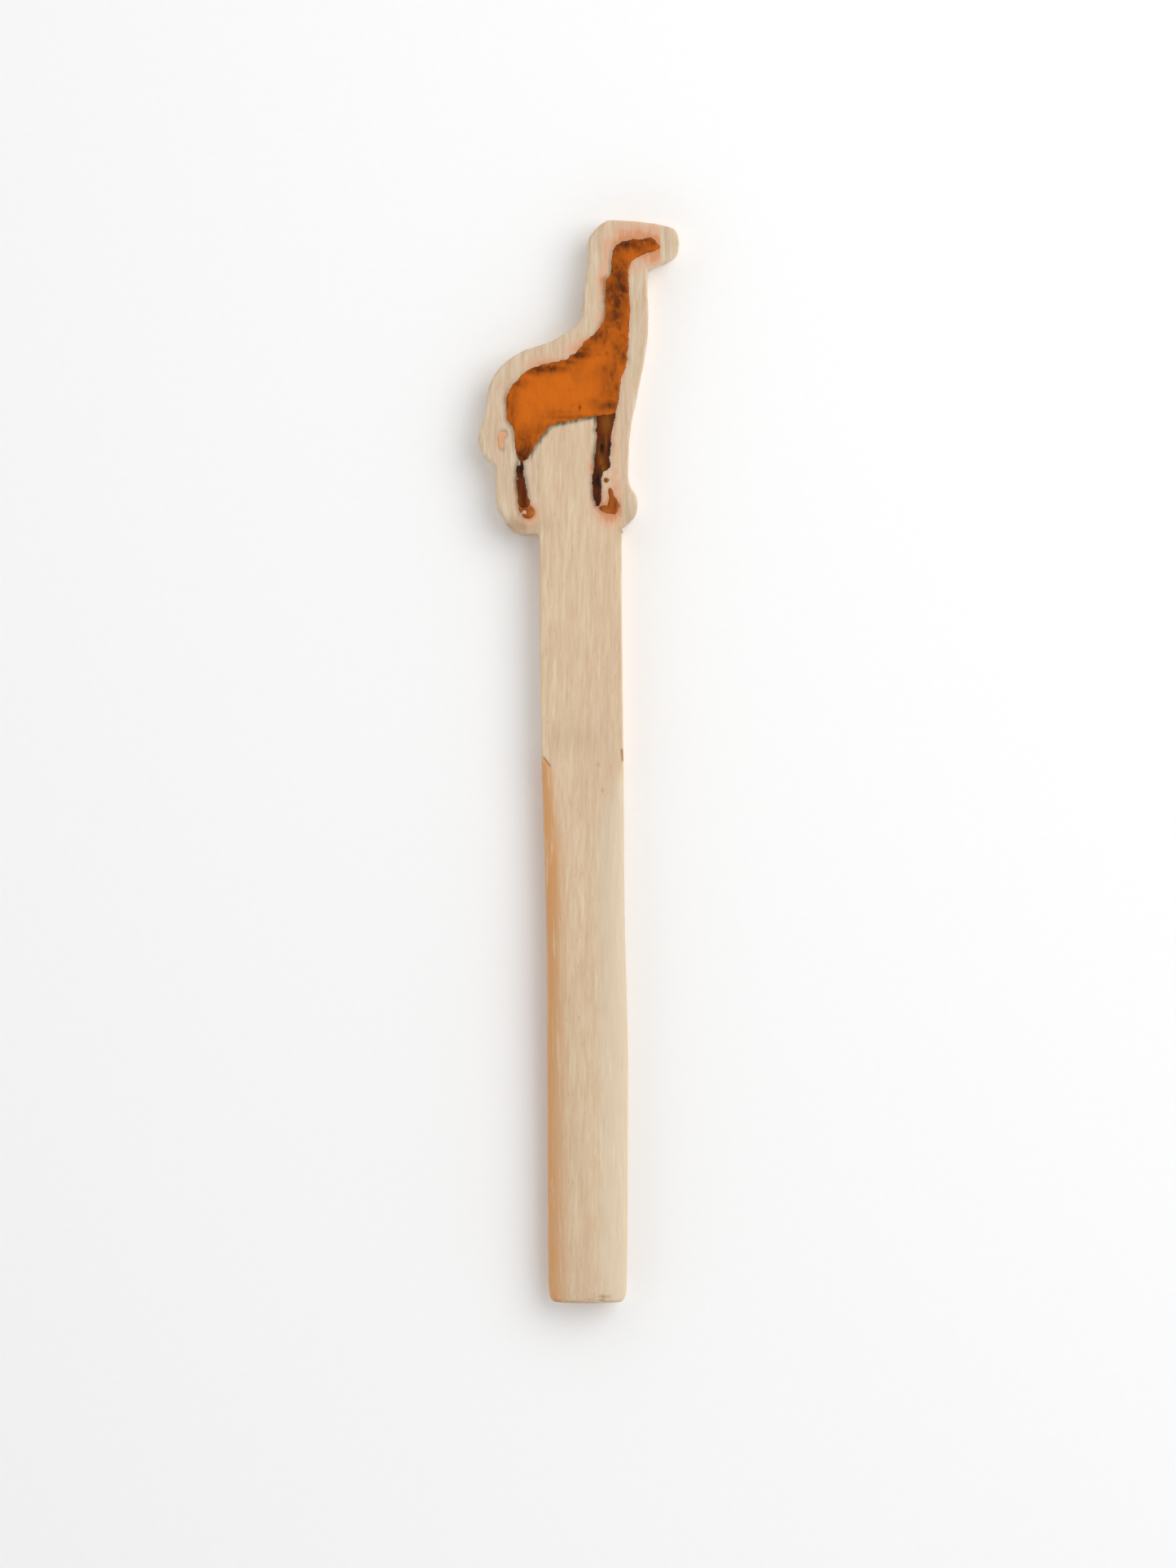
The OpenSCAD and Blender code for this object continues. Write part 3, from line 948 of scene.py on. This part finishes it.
# %% [markdown]
# ### Basswood, sanded
#
# Basswood is pale, even and fine-grained. Sanded and bare, it is matt, with faint streaks along the grain
# and a few short darker flecks. The fibres are too fine to show, so the streaks are drawn about 0.3 mm wide
# and 3 mm long. Every pattern is in millimetres on Object coordinates and drawn out along Y, so the butt
# shows the ends of the same fibres. The grip was rubbed smooth, and longer pale fibres show there.

# %% Basswood
STICK_TONES = ("#D0B391", "#DEC5A5")
PLATE_TONES = ("#C6AB8A", "#DDC9AD")
WOOD_PINK = "#D0AC90"
FLECK = "#B08E6B"


def sanded_wood(name, tones):
    """The wood that both pieces share: its colour from streaks, bands and flecks, before any stain."""
    material, tree, shader = blank(name, IOR=1.5)
    streaks = pattern(tree, 9, Scale=2.6, Detail=5.0, Roughness=0.62, Distortion=0.2)
    bands = pattern(tree, 12, Scale=0.6, Detail=2.0)
    flecks = pattern(tree, 5, Scale=4.5, Detail=1.0)
    tone = laid_over(
        tree, tones[0],
        (add(tree, "MapRange", {0: streaks, 1: 0.34, 2: 0.66}), tones[1]),
        (add(tree, "MapRange", {0: bands, 1: 0.45, 2: 0.65, 4: 0.4}), WOOD_PINK),
        (add(tree, "MapRange", {0: flecks, 1: 0.66, 2: 0.75, 4: 0.3}), FLECK),
    )
    return material, tree, shader, tone, streaks


# %% [markdown]
# What lies on the wood comes next: grime with painted shade at the plate's foot, the stain of thinned paint,
# and a soft pencil line. The stain is pink where it is thin and orange where it is strong. The streaks break
# all of it up, because soft fibres drink more than hard ones.

# %% Stains on the wood
STAIN_ORANGE = "#CF8149"
STAIN_PINK = "#DAA988"
PENCIL = "#5E503A"
# The colour of the grime, also used for the painted shade at the plate's foot.
GRIME_AND_SHADE_BROWN = "#94704C"
GRIME_AND_SHADE_MOST = 0.6


def stained(tree, tone, streaks):
    """Lays grime with painted shade, stain and pencil over the wood's colour."""
    # Grime, with painted shade at the plate's foot.
    grime_and_shade_amount = add(tree, "Attribute", out="Fac", attribute_name="grime_and_shade")
    grime_and_shade_amount = add(tree, "Math", {0: grime_and_shade_amount, 1: GRIME_AND_SHADE_MOST}, operation="MULTIPLY")
    stain_mark = add(tree, "Attribute", out="Fac", attribute_name="stain")
    uneven = add(tree, "MapRange", {0: streaks, 1: 0.3, 2: 0.7, 3: 0.65, 4: 1.35})
    amount = add(tree, "Math", {0: stain_mark, 1: uneven}, operation="MULTIPLY", use_clamp=True)
    strong = add(tree, "MapRange", {0: amount, 1: 0.55, 2: 1.1})
    hue = laid_over(tree, STAIN_PINK, (strong, STAIN_ORANGE))
    soaked = add(tree, "MapRange", {0: amount, 1: 0.04, 2: 0.45, 4: 0.9})
    line = add(tree, "Attribute", out="Fac", attribute_name="pencil")
    broken = add(tree, "MapRange", {0: streaks, 1: 0.35, 2: 0.6, 3: 1.2, 4: 0.7})
    line = add(tree, "Math", {0: line, 1: broken}, operation="MULTIPLY", use_clamp=True)
    return laid_over(tree, tone, (grime_and_shade_amount, GRIME_AND_SHADE_BROWN), (soaked, hue), (line, PENCIL))


def finish_wood(tree, shader, tone, streaks):
    """Gives the wood's colour and its fine relief to the shader."""
    tree.links.new(tone, shader.inputs["Base Color"])
    rough = add(tree, "MapRange", {0: streaks, 1: 0.3, 2: 0.7, 3: 0.7, 4: 0.58})
    tree.links.new(rough, shader.inputs["Roughness"])
    relief = add(tree, "Bump", {"Height": streaks, "Strength": 0.4, "Distance": 0.04 * MM})
    tree.links.new(relief, shader.inputs["Normal"])


# Colours of the painted shade on the grip's left and of the painted light on its right.
PAINTED_SHADE_ORANGE = "#D3985D"
PAINTED_LIGHT_CREAM = "#D4C3A8"
FIBRE = "#E2D2AF"
CUT_BROWN = "#A8713F"


def plate_basswood():
    """Sanded bare basswood with sawn sides. The eye sees a light matt front, stained round the figure."""
    material, tree, shader, tone, streaks = sanded_wood("sanded_basswood_plate", PLATE_TONES)
    finish_wood(tree, shader, stained(tree, tone, streaks), streaks)
    return material


def stick_basswood():
    """Whittled basswood, rubbed smooth, with warm painted shade on the grip's left and painted light on its
    right.
    """
    material, tree, shader, tone, streaks = sanded_wood("whittled_basswood_stick", STICK_TONES)
    uneven = add(tree, "MapRange", {0: streaks, 1: 0.3, 2: 0.7, 3: 0.75, 4: 1.2})
    # Lays the painted shade and the painted light into the grip's colour.
    for kept, colour, most in (("painted_left_shade", PAINTED_SHADE_ORANGE, 0.95), ("painted_right_light", PAINTED_LIGHT_CREAM, 0.75)):
        amount = add(tree, "Attribute", out="Fac", attribute_name=kept)
        amount = add(tree, "Math", {0: amount, 1: uneven}, operation="MULTIPLY", use_clamp=True)
        amount = add(tree, "Math", {0: amount, 1: most}, operation="MULTIPLY")
        tone = laid_over(tree, tone, (amount, colour))
    fibres = pattern(tree, 16, Scale=2.4, Detail=4.0, Roughness=0.6)
    fibres = add(tree, "MapRange", {0: fibres, 1: 0.56, 2: 0.7, 4: 0.6})
    tone = stained(tree, laid_over(tree, tone, (fibres, FIBRE)), streaks)
    cut = add(tree, "Attribute", out="Fac", attribute_name="cut")
    cut = add(tree, "MapRange", {0: cut, 1: 0.2, 2: 0.9, 4: 0.85})
    finish_wood(tree, shader, laid_over(tree, tone, (cut, CUT_BROWN)), streaks)
    return material


# %% [markdown]
# ### Paint, brushed on by hand
#
# The paint is a thin hand-brushed acrylic with a soft sheen, dried over open grain. Its colour is never
# even: it has a darker rim, brown worked into the orange, and soft clouds along the grain. One function
# serves all the coats. Each has a plain colour, a brown that was worked into it, the darkest colour of its
# dabs, and a lighter one where it is thin.

# %% Brushed paint
def brushed_paint(name, plain, brown, dark, light, rim, gloss=0.45):
    """Satin acrylic brushed on bare wood. The eye sees mottled colour with a darker rim and a soft sheen."""
    material, tree, shader = blank(name, IOR=1.48, Roughness=gloss, Specular_IOR_Level=0.18)
    blots = pattern(tree, 1.7, Scale=1.5, Detail=5.0, Roughness=0.66, Distortion=0.6)
    clouds = pattern(tree, 1.3, Scale=0.6, Detail=3.0)
    wash, dab, thin, edge = (
        add(tree, "Attribute", out="Fac", attribute_name=kept) for kept in ("wash", "dab", "light", "edge")
    )
    pooled = add(tree, "MapRange", {0: edge, 1: 0.6, 2: 0.05, 4: rim})
    pooled = add(
        tree, "Math", {0: pooled, 1: add(tree, "MapRange", {0: clouds, 1: 0.4, 2: 0.6, 3: 0.4, 4: 1.2})},
        operation="MULTIPLY",
    )
    worked = add(
        tree, "Math", {0: wash, 1: add(tree, "MapRange", {0: blots, 1: 0.34, 2: 0.64, 3: 0.6, 4: 1.4})},
        operation="MULTIPLY",
    )
    worked = add(tree, "Math", {0: worked, 1: pooled}, operation="MAXIMUM")
    worked = add(
        tree, "Math", {0: worked, 1: add(tree, "MapRange", {0: clouds, 1: 0.42, 2: 0.7, 4: 0.2})},
        operation="ADD", use_clamp=True,
    )
    dab = add(
        tree, "Math", {0: dab, 1: add(tree, "MapRange", {0: blots, 1: 0.3, 2: 0.6, 3: 0.35})},
        operation="MULTIPLY", use_clamp=True,
    )
    thin = add(
        tree, "Math", {0: thin, 1: add(tree, "MapRange", {0: blots, 1: 0.3, 2: 0.6, 3: 1.0, 4: 0.55})},
        operation="MULTIPLY", use_clamp=True,
    )
    tone = laid_over(tree, plain, (worked, brown), (thin, light), (dab, dark))
    tree.links.new(tone, shader.inputs["Base Color"])
    relief = add(tree, "Bump", {"Height": blots, "Strength": 0.3, "Distance": 0.04 * MM})
    tree.links.new(relief, shader.inputs["Normal"])
    return material


# %% [markdown]
# ### Dried wood glue
#
# White glue dries to a clear, yellowish, slightly rubbery solid with a soft shine.

# %% Dried glue
def dried_glue():
    """Dried white wood glue. The eye sees a faint, shiny, yellowish hairline."""
    material, tree, shader = blank("dried_wood_glue", IOR=1.47)
    cloud = pattern(tree, 1.0, Scale=1.4, Detail=3.0)
    tree.links.new(laid_over(tree, "#C4A67D", (cloud, "#D5BB95")), shader.inputs["Base Color"])
    sheen = add(tree, "MapRange", {0: cloud, 3: 0.3, 4: 0.5})
    tree.links.new(sheen, shader.inputs["Roughness"])
    return material


# %% [markdown]
# ## Put it together
#
# Each piece is listed with its material, the CAD node it stands for and a slot name. It gets its material,
# its CAD node is hidden, and it rides on the only body, because nothing on this puppet moves by itself.

# %% Finish every piece
orange = brushed_paint("orange_brushed_paint", "#CF670B", "#6C3000", "#4A2000", "#CF670B", rim=0.5)
leg_brown = brushed_paint("dark_brown_brushed_paint", "#652600", "#481A00", "#200D00", "#8E5412", rim=0.7)
hoof_brown = brushed_paint("red_brown_brushed_paint", "#A25318", "#7E3404", "#5A1E00", "#C87A3C", rim=0.3)
tail_wash = brushed_paint(
    "pale_orange_wash", "#DFA379", "#D9976B", "#C88458", "#E4BE9C", rim=0.15, gloss=0.55
)
PIECES = [
    (stick, stick_basswood(), "handle_stick", "stick_wood"),
    (plate, plate_basswood(), "giraffe_plate", "plate_wood"),
    (glue, dried_glue(), "lap_glue", "glue"),
    (body, orange, "body_paint", "body_paint"),
    (fore_leg, leg_brown, "fore_leg_paint", "leg_paint"),
    (hind_leg, leg_brown, "hind_leg_paint", "leg_paint"),
    (fore_hoof, hoof_brown, "fore_hoof_paint", "hoof_paint"),
    (hind_hoof, hoof_brown, "hind_hoof_paint", "hoof_paint"),
    (tail, tail_wash, "tail_paint", "tail_paint"),
]
for piece, material, node, slot in PIECES:
    piece.data.materials.append(material)
    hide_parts(node)
    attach(piece, "root")
print(f"{len(PIECES)} pieces finished")

# %% [markdown]
# ## Floor, light and camera
#
# The puppet lies on a plain pale floor inside a white tent, which is open above, where the camera looks in.
# The paint mirrors the dark opening and not the cloth, and so keeps its depth of colour. A wide soft lamp
# stands to the right and a little beyond the head, and leaves the left side of the grip in soft shade. The
# camera looks straight down through a long lens, which keeps the outline true.

# %% Floor
FLOOR_REACH = 1.5  # metres from the middle to each side
bm = bmesh.new()
bmesh.ops.create_grid(bm, x_segments=8, y_segments=8, size=FLOOR_REACH)
floor = made(bm, "paper_floor")
paper, tree, shader = blank("matt_white_paper", IOR=1.45, Roughness=0.9)
fibres = pattern(tree, 1.0, Scale=0.9, Detail=2.0)
tree.links.new(laid_over(tree, "#FAFAFA", (fibres, "#FDFDFD")), shader.inputs["Base Color"])
floor.data.materials.append(paper)
print(f"floor: {len(floor.data.polygons)} faces")

# %% Light
TENT = 1.07  # strength of the tent's white cloth
OPENING = 0.03  # strength of the dark opening above
CLOTH_TOP = 0.6  # how high the full white cloth reaches, as the sine of the height
OPENING_EDGE = 0.93  # where the opening starts
KEY = 2.05  # watts of the lamp
LAMP_SIZE = 0.55  # metres
LAMP_PLACE = (0.34, 0.2, 0.46)
scene = bpy.context.scene
world = bpy.data.worlds.new("white_tent")
world.use_nodes = True
sky = world.node_tree
height = add(sky, "SeparateXYZ", {0: add(sky, "TexCoord", out="Generated")}, "Z")
cloth = add(sky, "MapRange", {0: height, 1: OPENING_EDGE, 2: CLOTH_TOP, 3: OPENING, 4: TENT})
sky.links.new(cloth, sky.nodes["Background"].inputs["Strength"])
sky.nodes["Background"].inputs["Color"].default_value = (1.0, 1.0, 1.0, 1.0)
scene.world = world
scene.view_settings.view_transform = "Standard"

lamp = bpy.data.lights.new("soft_lamp", "AREA")
lamp.shape = "SQUARE"
lamp.size = LAMP_SIZE
lamp.energy = KEY
lamp_object = bpy.data.objects.new("soft_lamp", lamp)
lamp_object.location = LAMP_PLACE
lamp_object.rotation_euler = (-lamp_object.location).to_track_quat("-Z", "Y").to_euler()
scene.collection.objects.link(lamp_object)
print(f"lamp of {KEY} W, tent of strength {TENT}")

# %% Camera
LENS = 110  # millimetres
SENSOR = 36  # millimetres
VIEW_HIGH = 192.7 * MM  # height of the view at the puppet's front
camera = bpy.data.cameras.new("camera")
camera.lens = LENS
camera.sensor_width = SENSOR
camera_object = bpy.data.objects.new("camera", camera)
camera_object.location = (1.1 * MM, -2.75 * MM, FRONT + VIEW_HIGH * LENS / SENSOR)
scene.collection.objects.link(camera_object)
scene.camera = camera_object
print(f"camera {camera_object.location.z:.2f} m above the floor")
